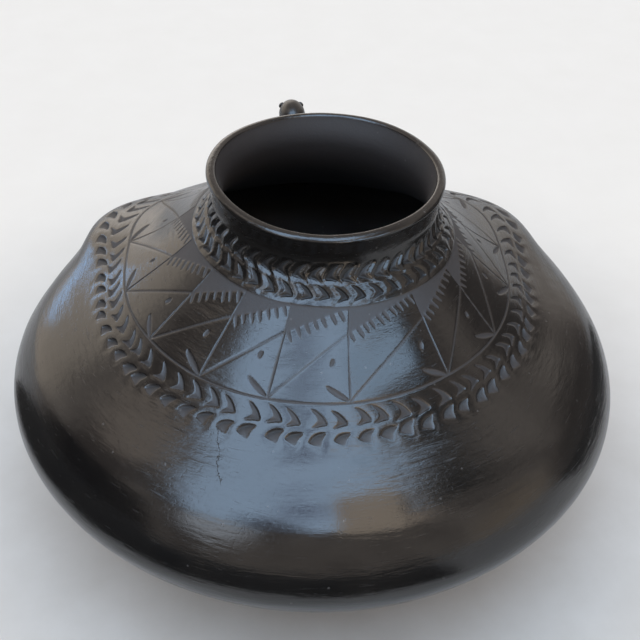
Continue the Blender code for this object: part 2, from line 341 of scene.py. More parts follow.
def make_ring(
        name, station, gap, columns, carving=plain,
        inner_gap=INNER_GAP, inner_columns=INNER_COLUMNS):
    """One ring of clay between two stations, counted from the lip.

    The gap is the distance between its outer rows, or the rows themselves.
    """
    top, end = STATION_DOWN[station], STATION_DOWN[station + 1]
    wall = Wall()
    downs = gap if isinstance(gap, np.ndarray) else rows_between(top, end, gap)
    add_outer(wall, downs, columns, carving)
    add_inner(wall, rows_between(top + SEAM_LAP, end + SEAM_LAP, inner_gap), inner_columns)
    return wall.close(name)


# The finish of the clay.
# Fired in smoke until it is black right through. Where the pebble rubbed it, it shines
# like graphite, with fine streaks round the jar; where a tool cut it, it is bare and dull,
# and its deeper cuts are painted darker as shade.
def put(tree, kind, place=(0, 0), **values):
    """A node with its settings."""
    made = tree.nodes.new(kind)
    made.location = place
    for word, value in values.items():
        setattr(made, word, value)
    return made


def wire(tree, *pairs):
    """Feeds each socket with a number, a colour or another socket."""
    for source, target in pairs:
        if isinstance(source, bpy.types.NodeSocket):
            tree.links.new(source, target)
        else:
            target.default_value = (*source, 1.0) if target.type == "RGBA" else source


def math_node(tree, operation, *terms):
    made = put(tree, "ShaderNodeMath", operation=operation)
    wire(tree, *zip(terms, made.inputs))
    return made.outputs[0]


def times(tree, first, second):
    return math_node(tree, "MULTIPLY", first, second)


def plus(tree, source, factor, so_far):
    return math_node(tree, "MULTIPLY_ADD", source, factor, so_far)


def vector_node(tree, operation, *terms):
    made = put(tree, "ShaderNodeVectorMath", operation=operation)
    wire(tree, *zip(terms, made.inputs))
    return made.outputs["Value" if operation in ("DOT_PRODUCT", "LENGTH") else "Vector"]


def split(tree, vector):
    """The three numbers of a vector."""
    parts = put(tree, "ShaderNodeSeparateXYZ")
    wire(tree, (vector, parts.inputs[0]))
    return parts.outputs


def stretch(tree, value, low, high, new_low=0.0, new_high=1.0, smooth=False):
    """A Map Range node."""
    made = put(tree, "ShaderNodeMapRange", clamp=True)
    made.interpolation_type = "SMOOTHSTEP" if smooth else "LINEAR"
    words = ("Value", "From Min", "From Max", "To Min", "To Max")
    terms = (value, low, high, new_low, new_high)
    wire(tree, *((term, made.inputs[word]) for word, term in zip(words, terms)))
    return made.outputs["Result"]


def noise(tree, vector, scale, detail, roughness=0.5, distortion=0.0):
    made = put(tree, "ShaderNodeTexNoise")
    words = ("Vector", "Scale", "Detail", "Roughness", "Distortion")
    terms = (vector, scale, detail, roughness, distortion)
    wire(tree, *((term, made.inputs[word]) for word, term in zip(words, terms)))
    return made.outputs["Fac"]


def mark_on(tree, name):
    """A value that the mesh carries at its points."""
    return put(tree, "ShaderNodeAttribute", attribute_name=name).outputs["Fac"]


def object_place(tree):
    return put(tree, "ShaderNodeTexCoord").outputs["Object"]


def blend(tree, share, first, second):
    """A Mix node for two numbers."""
    made = put(tree, "ShaderNodeMix", data_type="FLOAT")
    wire(tree, (share, made.inputs["Factor"]), (first, made.inputs[2]), (second, made.inputs[3]))
    return made.outputs[0]


def blend_colours(tree, share, first, second):
    made = put(tree, "ShaderNodeMix", data_type="RGBA")
    wire(tree, (share, made.inputs["Factor"]), (first, made.inputs[6]), (second, made.inputs[7]))
    return made.outputs[2]


def new_material(name):
    material = bpy.data.materials.new(name)
    material.use_nodes = True
    return material, material.node_tree, material.node_tree.nodes["Principled BSDF"]


def new_group(name, inputs, outputs):
    """An empty node group with float sockets; gives the tree and its two end nodes."""
    tree = bpy.data.node_groups.new(name, "ShaderNodeTree")
    for word, number in inputs:
        socket = tree.interface.new_socket(word, in_out="INPUT", socket_type="NodeSocketFloat")
        socket.default_value = number
    for word in outputs:
        tree.interface.new_socket(word, in_out="OUTPUT", socket_type="NodeSocketFloat")
    return tree, put(tree, "NodeGroupInput", (-900, 0)), put(tree, "NodeGroupOutput", (900, 0))


def round_the_jar(tree, along, across):
    """Coordinates that run round the jar slowly and down its side quickly."""
    x, y, z = split(tree, object_place(tree))
    reach = math_node(
        tree, "SQRT", math_node(tree, "ADD", times(tree, x, x), times(tree, y, y)))
    reach = math_node(tree, "MAXIMUM", reach, 0.001)
    side = plus(tree, reach, -0.8, z)
    joined = put(tree, "ShaderNodeCombineXYZ")
    parts = [times(tree, math_node(tree, "DIVIDE", part, reach), along) for part in (x, y)]
    wire(tree, *zip((*parts, times(tree, side, across)), joined.inputs))
    return joined.outputs[0]


def pebble_streaks():
    """Strokes of the burnishing pebble: broad ones, fine ones and a few missed lines."""
    tree, start, end = new_group(
        "pebble_streaks", (("Length", 9.0), ("Fineness", 420.0)), ("Broad", "Fine", "Missed"))
    vector = round_the_jar(tree, start.outputs["Length"], start.outputs["Fineness"])
    closer = vector_node(tree, "MULTIPLY", vector, (3.0, 3.0, 5.0))
    broad = noise(tree, vector, 1.0, 3.0, 0.55, 0.4)
    fine = noise(tree, closer, 1.0, 5.0, 0.7, 0.2)
    missed = stretch(tree, noise(tree, closer, 0.45, 2.0, 0.5, 0.8), 0.64, 0.72)
    wire(tree, *zip((broad, fine, missed), end.inputs))
    return tree


def soot_and_specks():
    """Clouds from the smoky firing, small pits in the clay, and pale grains of dust."""
    tree, start, end = new_group(
        "soot_and_specks", (("Cloud Scale", 26.0), ("Pit Scale", 900.0)),
        ("Clouds", "Pits", "Specks"))
    place = object_place(tree)
    clouds = noise(tree, place, start.outputs["Cloud Scale"], 4.0, 0.55, 0.6)
    pits = noise(tree, place, start.outputs["Pit Scale"], 2.0)
    cells = put(tree, "ShaderNodeTexVoronoi")
    chance = put(tree, "ShaderNodeSeparateColor")
    wire(
        tree, (place, cells.inputs["Vector"]), (320.0, cells.inputs["Scale"]),
        (cells.outputs["Color"], chance.inputs[0]))
    few = math_node(tree, "GREATER_THAN", chance.outputs[0], 0.93)
    near = stretch(tree, cells.outputs["Distance"], 0.10, 0.18, 1.0, 0.0)
    pitted = stretch(tree, pits, 0.30, 0.42, 1.0, 0.0)
    wire(tree, *zip((clouds, pitted, times(tree, few, near)), end.inputs))
    return tree


CRACK_ACROSS = -0.0435
CRACK_NEAR, CRACK_FAR = -0.096, -0.0765
CRACK_ABOVE = 0.08
CRACK_WANDER = 0.009


def hairline():
    """A hairline crack that wanders down the front of the shoulder from the shells."""
    tree, start, end = new_group("hairline", (("Width", 0.00012),), ("Crack",))
    place = object_place(tree)
    x, y, z = split(tree, place)
    wander = math_node(tree, "SUBTRACT", noise(tree, place, 150.0, 5.0, 0.75), 0.5)
    across = plus(tree, wander, CRACK_WANDER, x)
    off = math_node(tree, "ABSOLUTE", math_node(tree, "SUBTRACT", across, CRACK_ACROSS))
    widths = math_node(tree, "DIVIDE", off, start.outputs["Width"])
    line = stretch(tree, widths, 0.5, 1.3, 1.0, 0.0)
    begins = stretch(tree, y, CRACK_NEAR, CRACK_NEAR + 0.004)
    ends = stretch(tree, y, CRACK_FAR, CRACK_FAR + 0.001, 1.0, 0.0)
    high = math_node(tree, "GREATER_THAN", z, CRACK_ABOVE)
    crack = times(tree, times(tree, line, times(tree, begins, ends)), high)
    wire(tree, (crack, end.inputs["Crack"]))
    return tree


STREAKS, SOOT, HAIRLINE = pebble_streaks(), soot_and_specks(), hairline()
BLACK, BROWN_BLACK = (0.0045, 0.0042, 0.0040), (0.0100, 0.0085, 0.0070)
UNRUBBED = (0.02, 0.019, 0.018)
BARE_CLAY = (0.034, 0.029, 0.0275)
# Painted shade: the colour the bare clay darkens to in the deepest cuts.
CUT_SHADE = (0.006, 0.0055, 0.005)
DUST = (0.16, 0.15, 0.14)
CRACK_DARK = (0.004, 0.0038, 0.0036)
STROKE_RELIEF = (0.00010, 0.00040)
FINE_RELIEF, PIT_DEPTH, CRACK_DEPTH, DUG_RELIEF = 0.00006, 0.00003, 0.0002, 0.00012
CLAY_SPECULAR = 0.8


def clay_finish(name, shine=0.145, streak_bump=0.5, cloudiness=0.05):
    """Black clay that is burnished where its bare mark is nought, and dull where it is one."""
    material, tree, shader = new_material(name)
    streaks = put(tree, "ShaderNodeGroup", node_tree=STREAKS).outputs
    soot = put(tree, "ShaderNodeGroup", node_tree=SOOT).outputs
    crack = put(tree, "ShaderNodeGroup", node_tree=HAIRLINE).outputs["Crack"]
    dull = math_node(tree, "MAXIMUM", mark_on(tree, "bare"), mark_on(tree, "inside"))

    black = blend_colours(tree, stretch(tree, soot["Clouds"], 0.35, 0.7), BLACK, BROWN_BLACK)
    black = blend_colours(tree, times(tree, streaks["Missed"], 0.2), black, UNRUBBED)
    grain = noise(tree, object_place(tree), 1400.0, 3.0, 0.6)
    darker, paler = (tuple(factor * c for c in BARE_CLAY) for factor in (0.8, 1.2))
    bare_and_cut_shade = blend_colours(tree, stretch(tree, grain, 0.35, 0.65), darker, paler)
    # Painted shade: the deeper the tool went, the darker the bare clay is painted.
    cut_shading = stretch(tree, mark_on(tree, "cut"), 0.25, 0.95, 0.0, 0.8, smooth=True)
    bare_and_cut_shade = blend_colours(tree, cut_shading, bare_and_cut_shade, CUT_SHADE)
    colour = blend_colours(tree, dull, black, bare_and_cut_shade)
    colour = blend_colours(tree, times(tree, soot["Specks"], 0.35), colour, DUST)
    colour = blend_colours(tree, times(tree, crack, 0.9), colour, CRACK_DARK)

    polish = stretch(tree, streaks["Fine"], 0.35, 0.7, shine - 0.04, shine + 0.07)
    polish = plus(tree, stretch(tree, soot["Clouds"], 0.4, 0.65), cloudiness, polish)
    polish = plus(tree, crack, 0.6, plus(tree, streaks["Missed"], 0.15, polish))
    rough = stretch(tree, grain, 0.3, 0.7, 0.56, 0.72)

    strokes = stretch(tree, soot["Clouds"], 0.38, 0.62, *STROKE_RELIEF)
    relief = times(tree, streaks["Fine"], FINE_RELIEF)
    relief = plus(tree, streaks["Broad"], strokes, relief)
    relief = plus(tree, soot["Pits"], -PIT_DEPTH, relief)
    relief = plus(tree, crack, -CRACK_DEPTH, relief)
    dug = times(tree, grain, DUG_RELIEF)
    bump = put(tree, "ShaderNodeBump")
    wire(
        tree, (colour, shader.inputs["Base Color"]),
        (CLAY_SPECULAR, shader.inputs["Specular IOR Level"]),
        (blend(tree, dull, polish, rough), shader.inputs["Roughness"]),
        (streak_bump, bump.inputs["Strength"]), (1.0, bump.inputs["Distance"]),
        (blend(tree, dull, relief, dug), bump.inputs["Height"]),
        (bump.outputs[0], shader.inputs["Normal"]))
    return material


burnished = clay_finish("burnished_clay")


def finish_piece(piece, material, slot, *nodes):
    """Gives a piece its finish, hangs it on the root body and hides the solids it replaces; the
    slot is not used.
    """
    piece.data.materials.append(material)
    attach(piece, "root")
    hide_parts(*nodes)


# The base bowl.
# Pressed into shape first, with a small flat foot; it was only scraped, so it is duller
# than the wall above.
scraped = clay_finish("scraped_clay", 0.34, 0.8, 0.08)


def fan(wall, row, middle, first):
    """Closes the first or last row of a wall onto a point on the axis."""
    start, many, place = row
    hub = wall.count
    for store, value in (
            (wall.points, [middle]), (wall.bare, [0.0]), (wall.cut, [0.0]),
            (wall.normals, [(0.0, 0.0, 0.0)]), (wall.inside, [float(first)])):
        store.append(np.array(value))
    wall.count += 1
    j = np.arange(many)
    step = TURN / many
    order = (0, 1, 2) if first else (1, 0, 2)
    corners = (np.full(many, hub), start + j, start + (j + 1) % many)
    turns = ((j + 0.5) * step, j * step, (j + 1) * step)
    places = (max(place - 0.01, 0.0) if first else place + 0.01, place, place)
    wall.faces.append(np.stack([corners[i] for i in order], 1))
    wall.angles.append(np.stack([turns[i] for i in order], 1))
    wall.places.append(np.broadcast_to([places[i] for i in order], (many, 3)))


FOOT_GAP, BOWL_GAP = 0.0018, 0.0025


def closed_base(name):
    """The bowl as one closed body: outer side down to the foot, then the inner side."""
    top, end = STATION_DOWN[8], STATION_DOWN[9]
    wall = Wall()
    inner = rows_between(top + SEAM_LAP, end, BOWL_GAP)
    rim = inner_skin(inner[-1], round_angles(INNER_COLUMNS))
    floor = float(rim[:, 2].mean())
    for share in (0.25, 0.5, 0.75):
        wall.add_row(rim * (share, share, 0.0) + (0.0, 0.0, floor), inside=1.0)
    add_inner(wall, inner, INNER_COLUMNS)
    add_outer(wall, rows_between(top, end, FOOT_GAP), PLAIN_COLUMNS)
    foot = wall.points[-1]
    ground = float(foot[:, 2].mean())
    for share in (0.97, 0.6, 0.25):
        wall.add_row(foot * (share, share, 0.0) + (0.0, 0.0, ground))
    fan(wall, wall.rows[0], (0.0, 0.0, floor), True)
    fan(wall, wall.rows[-1], (0.0, 0.0, ground), False)
    return wall.close(name, ring=False)


base = closed_base("base")
finish_piece(base, scraped, "plain_clay", "base_bowl")

# The plain rings.
# Four rings of clay that widen to the belly and close in again to the shoulder. Their
# seams were smoothed away, and the wall was burnished round and round.
lower = make_ring("lower_wall", 7, 0.0018, PLAIN_COLUMNS)
finish_piece(lower, scraped, "plain_clay", "lower_coil")
belly = make_ring("belly_wall", 6, 0.0016, PLAIN_COLUMNS)
finish_piece(belly, burnished, "burnished_clay", "belly_coil")
shoulder = make_ring("shoulder_wall", 5, 0.0015, PLAIN_COLUMNS)
finish_piece(shoulder, burnished, "burnished_clay", "shoulder_coil")

FINE_COLUMNS = 1440
FINE_GAPS = (0.0, 0.0004, 0.0009, 0.0015)  # rows that are as fine as the band's above them
haunch_downs = np.concatenate([
    STATION_DOWN[4] + np.array(FINE_GAPS),
    rows_between(STATION_DOWN[4] + 0.0026, STATION_DOWN[5], 0.0012),
])
haunch_counts = [FINE_COLUMNS] * len(FINE_GAPS)
haunch_counts += [PLAIN_COLUMNS] * (len(haunch_downs) - len(FINE_GAPS))

# The carved shoulder band.
# Two rows of gouges round the top of the haunches, pressed and cut with the rounded end
# of a tool while the clay was leather-hard: crescents above, and shells below them.
MAP_COLUMNS = 2880
MAP_GAP = 0.00015


class Carving:
    """How deep the tool went, and where the cut clay is bare, on a stretch of the wall."""

    def __init__(self, top, end):
        self.top = top
        self.downs = np.arange(top, end + MAP_GAP, MAP_GAP)
        self.depth = np.zeros((len(self.downs), MAP_COLUMNS))
        self.bare = np.zeros_like(self.depth)

    def window(self, angle, down, half_width, half_height):
        """The part of the map round a place, with distances right and up from that place."""
        reach = float(outline_at(down)[0])
        low = max(0, int((down - half_height - self.top) / MAP_GAP))
        high = min(len(self.downs), int((down + half_height - self.top) / MAP_GAP) + 2)
        if high <= low:
            return None
        middle = angle / TURN * MAP_COLUMNS
        half = int(half_width / reach / TURN * MAP_COLUMNS) + 2
        columns = np.arange(int(middle) - half, int(middle) + half + 1)
        right = (columns - middle)[None, :] * (TURN / MAP_COLUMNS) * reach
        up = down - self.downs[low:high, None]
        return np.ix_(np.arange(low, high), columns % MAP_COLUMNS), right, up

    def press_in(self, cells, depth, bare):
        self.depth[cells] = np.maximum(self.depth[cells], depth)
        self.bare[cells] = np.maximum(self.bare[cells], bare)

    def __call__(self, down, angle):
        """Depth and bareness at places on the wall."""
        down, angle = np.broadcast_arrays(down, angle)
        row = np.clip((down - self.top) / MAP_GAP, 0, len(self.downs) - 1.001)
        column = (angle / TURN * MAP_COLUMNS) % MAP_COLUMNS
        i, j = row.astype(int), column.astype(int)
        k = (j + 1) % MAP_COLUMNS
        j = j % MAP_COLUMNS
        a, b = row - i, column - np.floor(column)
        return tuple(
            (1 - a) * ((1 - b) * grid[i, j] + b * grid[i, k])
            + a * ((1 - b) * grid[i + 1, j] + b * grid[i + 1, k])
            for grid in (self.depth, self.bare)
        )


def distance_to(line, right, up):
    """Distance of places from a line of points."""
    best = np.full(np.broadcast(right, up).shape, 1.0)
    for (ax, ay), (bx, by) in zip(line, line[1:]):
        dx, dy = bx - ax, by - ay
        share = ((right - ax) * dx + (up - ay) * dy) / (dx * dx + dy * dy + 1e-12)
        share = np.clip(share, 0, 1)
        best = np.minimum(best, np.hypot(right - ax - share * dx, up - ay - share * dy))
    return best


def within(edge, right, up):
    """Whether places lie within a closed line of points."""
    inside = np.zeros(np.broadcast(right, up).shape, bool)
    for (ax, ay), (bx, by) in zip(edge, edge[1:] + edge[:1]):
        crosses = (ay > up) != (by > up)
        meets = (bx - ax) * (up - ay) / (by - ay + (by == ay) * 1e-12) + ax
        inside ^= crosses & (right < meets)
    return inside


def smooth_step(value, low, high):
    share = np.clip((value - low) / (high - low), 0, 1)
    return share * share * (3 - 2 * share)


MARK_STEPS = 5
SLUMP_REACH = 0.0011


def gouge(carving, angle, down, hard, soft, depth, size, turn, flip, give):
    """A tool mark with a steep wall along its hard edge, rising to nothing at its soft edge.

    The clay round it gives way a little, so the ridges left between the marks are rounded.
    """
    c, s = math.cos(turn), math.sin(turn)
    turned = size * np.array([[c, s], [-s, c]])
    hard_edge, soft_edge = (
        [tuple(p) for p in curve_through(np.array(line) * (1.0, flip), MARK_STEPS) @ turned]
        for line in (hard, soft))
    cells = carving.window(angle, down, 7 * size, 7 * size)
    if cells is None:
        return
    where, right, up = cells
    from_hard = distance_to(hard_edge, right, up)
    from_soft = distance_to(soft_edge, right, up)
    inside = within(hard_edge + soft_edge[::-1], right, up)
    side = np.where(inside, 1, -1) * np.minimum(from_hard, from_soft)
    ramp = from_soft / (from_hard + from_soft + 1e-9)
    mark = depth * ramp**1.1 * smooth_step(side, -0.00012, 0.00036)
    slump = give * depth * bell(np.minimum(side, 0), SLUMP_REACH)
    carving.press_in(where, np.maximum(mark, slump), smooth_step(mark / depth, 0.05, 0.34))


CRESCENT = (  # hard and soft edge, about a millimetre to each unit, right and up
    ((-2.9, 3.3), (-0.9, 2.6), (1.0, 1.2), (2.3, -0.4), (3.1, -2.4), (0.4, -2.9), (-2.8, -3.7)),
    ((-2.9, 3.3), (-1.7, 1.6), (-0.8, 0.1), (-0.8, -1.6), (-2.8, -3.7)),
)
SHELL = (
    ((3.5, 2.9), (0.7, 2.8), (-1.6, 1.8), (-3.0, -0.2)),
    ((3.5, 2.9), (2.5, 0.5), (2.4, -1.5), (1.3, -3.1), (-1.5, -1.5), (-3.0, -0.2)),
)


def laid_out(carving, path, margin):
    """The map round a path of (angle, down) points, and the path as distances on it."""
    angles, downs = np.array(path).T
    middle, level = (angles.min() + angles.max()) / 2, (downs.min() + downs.max()) / 2
    reach = float(outline_at(level)[0])
    where, right, up = carving.window(
        middle, level, np.ptp(angles) / 2 * reach + margin, np.ptp(downs) / 2 + margin)
    return where, right, up, [((a - middle) * reach, level - d) for a, d in path]


def incise(carving, path, width, depth, thickness=None):
    """A cut drawn along (angle, down) points; thickness says how wide it is along its way."""
    where, right, up, line = laid_out(carving, path, width)
    off = distance_to(line, right, up)
    half = width / 2
    if thickness:
        (ax, ay), (bx, by) = line[0], line[-1]
        dx, dy = bx - ax, by - ay
        share = np.clip(((right - ax) * dx + (up - ay) * dy) / (dx * dx + dy * dy), 0, 1)
        half = half * thickness(share)
    deep = depth * np.clip(1 - (off / (half + 1e-9)) ** 2, 0, 1)
    carving.press_in(where, deep, smooth_step(half - off, -0.00006, 0.00014))


def mark_by_eye(angle, down, drift, shape, depths, sizes, lean, facing=0.0, flip=1, give=0.08):
    """One gouge, set and pressed with a potter's unsteadiness."""
    gouge(
        marks, angle, down + hand.uniform(-drift, drift), *shape, hand.uniform(*depths),
        hand.uniform(*sizes), facing + hand.uniform(-lean, lean), flip, give)


def spaced_by_eye(first, many):
    """Angles of marks all round the jar, never quite evenly apart."""
    return [first + TURN / many * (i + hand.uniform(-0.14, 0.14)) for i in range(many)]


marks = Carving(STATION_DOWN[1], STATION_DOWN[4] + 0.0015)
CRESCENTS, SHELLS = 66, 67
for angle in spaced_by_eye(math.radians(-96.8), CRESCENTS):
    mark_by_eye(
        angle, STATION_DOWN[3] + 0.0050, 0.0005, CRESCENT, (0.0007, 0.00095),
        (0.00090, 0.00102), 0.10)
for angle in spaced_by_eye(math.radians(-96.5), SHELLS):
    mark_by_eye(
        angle, STATION_DOWN[3] + 0.0129, 0.0004, SHELL, (0.0010, 0.0014),
        (0.00090, 0.00104), 0.14)


def ring_line(level, width, depth):
    """A line drawn by hand right round the jar, never quite level."""
    strokes, length = 24, 4
    steps = np.linspace(0, TURN, strokes * length + 1)
    drift = 0.00022 * np.sin(3 * steps + 1.0) + 0.00013 * np.sin(8 * steps)
    for stroke in range(strokes):
        part = slice(stroke * length, (stroke + 1) * length + 1)
        incise(marks, list(zip(steps[part], level + drift[part])), width, depth)


ring_line(STATION_DOWN[3], 0.00072, 0.00026)

carved = clay_finish("carved_clay")
haunch = make_ring("haunch_wall", 4, haunch_downs, haunch_counts, marks)
finish_piece(haunch, burnished, "burnished_clay", "haunch_coil")
band = make_ring("shoulder_band", 3, 0.00034, FINE_COLUMNS, marks)
finish_piece(band, carved, "carved_clay", "band_coil")

# The incised panel.
# Between two drawn rings: triangles scraped dull, with a comb of short cuts along their
# slanting edge, and thin lines that run from their corners to a point on the lower ring.
POINTS = np.radians([
    -221.5, -198.5, -174.0, -151.0, -130.0, -110.0, -88.0, -58.8, -35.5, -12.5,
    8.0, 34.5, 60.5, 86.5, 112.5,
])
CORNER_DOWN = STATION_DOWN[2] + 0.0104
SCRAPE_DEPTH, SCRAPE_MARGIN = 0.00016, 0.001
EDGE_STEPS = 10
LINE_WIDTH, SLANT_WIDTH, LINE_DEPTH = 0.00054, 0.00050, 0.00030
TOOTH_PITCH, TOOTH_WIDTH, TOOTH_DEPTH = 0.0031, 0.0014, 0.00018
TOOTH_LEAN, TOOTH_LENGTH = 0.0017, 0.0030
LEAF_WIDTH, DOT_WIDTH, LEAF_DEPTH = 0.0020, 0.0016, 0.0004


def scrape(carving, corners, depth):
    """A flat patch scraped dull between (angle, down) corners."""
    where, right, up, edge = laid_out(carving, corners, SCRAPE_MARGIN)
    side = np.where(within(edge, right, up), 1, -1) * distance_to(edge + edge[:1], right, up)
    carving.press_in(
        where, depth * smooth_step(side, -0.00005, 0.0003), smooth_step(side, -0.0001, 0.0001))


def straight(start, end):
    """A line that is straight on the clay: the panel is nearly a cone, so it is unrolled."""
    downs = np.linspace(STATION_DOWN[2], STATION_DOWN[3], 60)
    reach = outline_at(downs)[0]
    slope = (reach[-1] - reach[0]) / (downs[-1] - downs[0])
    ends = []
    for angle, down in (start, end):
        far = float(outline_at(down)[0]) / slope
        ends.append(far * np.exp(1j * angle * slope))
    line = ends[0] + (ends[1] - ends[0]) * np.linspace(0, 1, EDGE_STEPS + 1)
    turn = np.unwrap(np.angle(line * np.exp(-1j * start[0] * slope)))
    return list(zip(start[0] + turn / slope, np.interp(np.abs(line) * slope, reach, downs)))


ring_line(STATION_DOWN[2] + 0.0004, 0.0012, 0.00016)
corners = [
    (point + math.radians(hand.uniform(0.2, 1.8)), CORNER_DOWN + hand.uniform(-0.0012, 0.0012))
    for point in POINTS
]
following = [*corners[1:], (corners[0][0] + TURN, corners[0][1])]
for point, corner, next_corner in zip(POINTS, corners, following):
    neck_line = STATION_DOWN[2] + 0.0002
    top = (corner[0] + math.radians(hand.uniform(-0.3, 0.9)), neck_line)
    tip = (next_corner[0] - math.radians(0.6), neck_line + 0.0005)
    edge = straight(corner, tip)
    scrape(marks, [top, *edge], SCRAPE_DEPTH)
    foot = (point, STATION_DOWN[3] - 0.0003)
    incise(marks, [top, corner, foot], LINE_WIDTH, LINE_DEPTH)
    incise(marks, straight(foot, next_corner), SLANT_WIDTH, LINE_DEPTH)
    reach = float(outline_at(CORNER_DOWN)[0])
    length = math.hypot((tip[0] - corner[0]) * reach, tip[1] - corner[1])
    teeth = int(length / TOOTH_PITCH)
    for k in range(teeth):
        place = EDGE_STEPS * (k + 0.35 + hand.uniform(-0.1, 0.1)) / teeth
        before, share = int(place), place % 1
        root = np.array(edge[before]) * (1 - share) + np.array(edge[before + 1]) * share
        size = hand.uniform(0.85, 1.1)
        end = (root[0] + TOOTH_LEAN * size / reach, root[1] + TOOTH_LENGTH * size)
        incise(marks, [root, end], TOOTH_WIDTH * size, TOOTH_DEPTH, lambda t: 1 - 0.45 * t**2)
    leaf_start = (point - math.radians(hand.uniform(6.4, 7.6)), STATION_DOWN[3] - 0.0058)
    leaf_tip = (point - math.radians(0.5), foot[1] - 0.0004)
    incise(
        marks, [leaf_start, leaf_tip], LEAF_WIDTH, LEAF_DEPTH,
        lambda t: 0.25 + 0.75 * np.sin(np.pi * t) ** 0.7)
    dot = (point - math.radians(hand.uniform(4.6, 5.6)), STATION_DOWN[3] - 0.0137)
    dot_end = (dot[0] + math.radians(0.35), dot[1] - 0.0009)
    incise(marks, [dot, dot_end], DOT_WIDTH, LEAF_DEPTH)

SOFTENING = 0.00018


def softened(down, angle):
    """The marks as broad as the panel's rows are apart, so that slanting lines stay whole."""
    looks = [marks(down + shift, angle) for shift in (-SOFTENING, 0.0, SOFTENING)]
    return tuple(sum(look) / len(looks) for look in zip(*looks))


incised = clay_finish("incised_clay")
panel_top, panel_end = STATION_DOWN[2], STATION_DOWN[3]
panel_downs = np.concatenate([
    panel_top + 0.0003 * np.arange(5),
    rows_between(panel_top + 0.0015, panel_end - 0.0015, 0.00054),
    panel_end - 0.0003 * np.arange(5)[::-1],
])
panel = make_ring("incised_panel", 2, panel_downs, FINE_COLUMNS, softened)
finish_piece(panel, incised, "incised_clay", "panel_coil")

# The carved neck band.
# The neck rises from the panel in a ring of clay; two rows of crescents are cut into it
# back to back, so that the clay left between them winds like a rope.
NECK_MARKS = 46
for i in range(NECK_MARKS):
    angle = TURN * (i + hand.uniform(-0.08, 0.08)) / NECK_MARKS
    mark_by_eye(
        angle + math.radians(0.6), STATION_DOWN[1] + 0.0040, 0.0004, CRESCENT,
        (0.0017, 0.0020), (0.00082, 0.00092), 0.12, math.pi, -1, 0.3)
    mark_by_eye(
        angle + math.radians(4.2), STATION_DOWN[1] + 0.0108, 0.0004, CRESCENT,
        (0.0014, 0.0017), (0.00078, 0.00088), 0.12, give=0.16)

collar_top, collar_end = STATION_DOWN[1], STATION_DOWN[2]
collar_downs = np.concatenate([
    rows_between(collar_top, collar_end - 0.0015, 0.0003),
    collar_end - 0.0003 * np.arange(5)[::-1],
])
collar = make_ring("neck_band", 1, collar_downs, FINE_COLUMNS, marks, 0.0012, PLAIN_COLUMNS)
finish_piece(collar, carved, "carved_clay", "collar_coil")

# The lip.
# The last ring, drawn up thin between wet fingers and turned out a little, with a rounded
# edge that was left a bit uneven and wiped smooth.
LIP_STEPS = 20
LIP_SQUARENESS = 0.85
LIP_RISE = 0.9
LIP_DULLNESS = 0.1


def make_lip(name):
    top, end = LIP_WALL / 2, STATION_DOWN[1]
    wall = Wall()
    add_outer(wall, rows_between(top, end, 0.0006), FINE_COLUMNS)
    add_inner(wall, rows_between(top, end + SEAM_LAP, 0.0008), PLAIN_COLUMNS)
    angle = round_angles(PLAIN_COLUMNS)
    outer = np.array(sunk(top, uneven(top, angle)))
    inner = np.array(sunk(top, inner_depth(top, angle)))
    centre, across = (outer + inner) / 2, (inner - outer) / 2
    rise = np.array([across[1], -across[0]]) * LIP_RISE
    for step in range(1, LIP_STEPS):
        turn = math.pi * step / LIP_STEPS
        over = math.copysign(abs(math.cos(turn)) ** LIP_SQUARENESS, math.cos(turn))
        radius, height = centre + across * over + rise * math.sin(turn) ** LIP_SQUARENESS
        wall.add_row(
            press(radius, height, angle), LIP_DULLNESS * (1 - smooth_step(turn, 0.4, 2.2)),
            inside=1.0 - smooth_step(turn, 0.0, 0.35))
    return wall.close(name)


lip = make_lip("lip")
finish_piece(lip, burnished, "burnished_clay", "lip_coil")

# The bird effigy.
# A small bird on the far side looks away from the mouth: its neck was luted to the
# shoulder with wet clay, and its eyes are two pellets pressed on with a reed.
head_low, head_high = (Vector(corner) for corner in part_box("effigy_head"))
HEAD_CENTRE = (head_low + head_high) / 2
HEAD_SIZE = head_high - head_low
ROOT_RADIUS = 0.0095
THROAT_RADIUS = 0.0043
THROAT_BACK = 0.0035
ROOT_SINK = 0.0035
LUTING_RADIUS = 0.0032
LUTING_SINK = 0.0008
BEAK_DROOP = math.radians(18)
BEAK_LENGTH, BEAK_RADIUS, BEAK_TIP = 0.0099, 0.0035, 0.0006
BEAK_INSET = 0.0030
NECK_STEPS, BEAK_STEPS, LUTING_STEPS = 24, 8, 26
BIRD_GRAIN = 0.00028


def shoulder_point(reach):
    """The shoulder's outer face on the far side, at a distance from the axis."""
    downs = np.linspace(STATION_DOWN[3], STATION_DOWN[6], 400)
    across = press(*outline_at(downs)[:2], BACK)
    return Vector(across[np.argmin(np.abs(across[:, 1] - reach))])


def tube(name, points, radii, sides=40):
    """A closed tube along the points."""
    mesh = bpy.data.meshes.new(name)
    grow = bmesh.new()
    rings = []
    for i, (point, radius) in enumerate(zip(points, radii)):
        ahead = points[min(i + 1, len(points) - 1)] - points[max(i - 1, 0)]
        turn = ahead.to_track_quat("Z", "X").to_matrix()
        rings.append([
            grow.verts.new(point + turn @ Vector((
                radius * math.cos(TURN * k / sides), radius * math.sin(TURN * k / sides), 0.0)))
            for k in range(sides)
        ])
    for low, high in zip(rings, rings[1:]):
        for k in range(sides):
            grow.faces.new((low[k], low[(k + 1) % sides], high[(k + 1) % sides], high[k]))
    grow.faces.new(rings[0][::-1])
    grow.faces.new(rings[-1])
    bmesh.ops.recalc_face_normals(grow, faces=grow.faces)
    grow.to_mesh(mesh)
    grow.free()
    return bpy.data.objects.new(name, mesh)


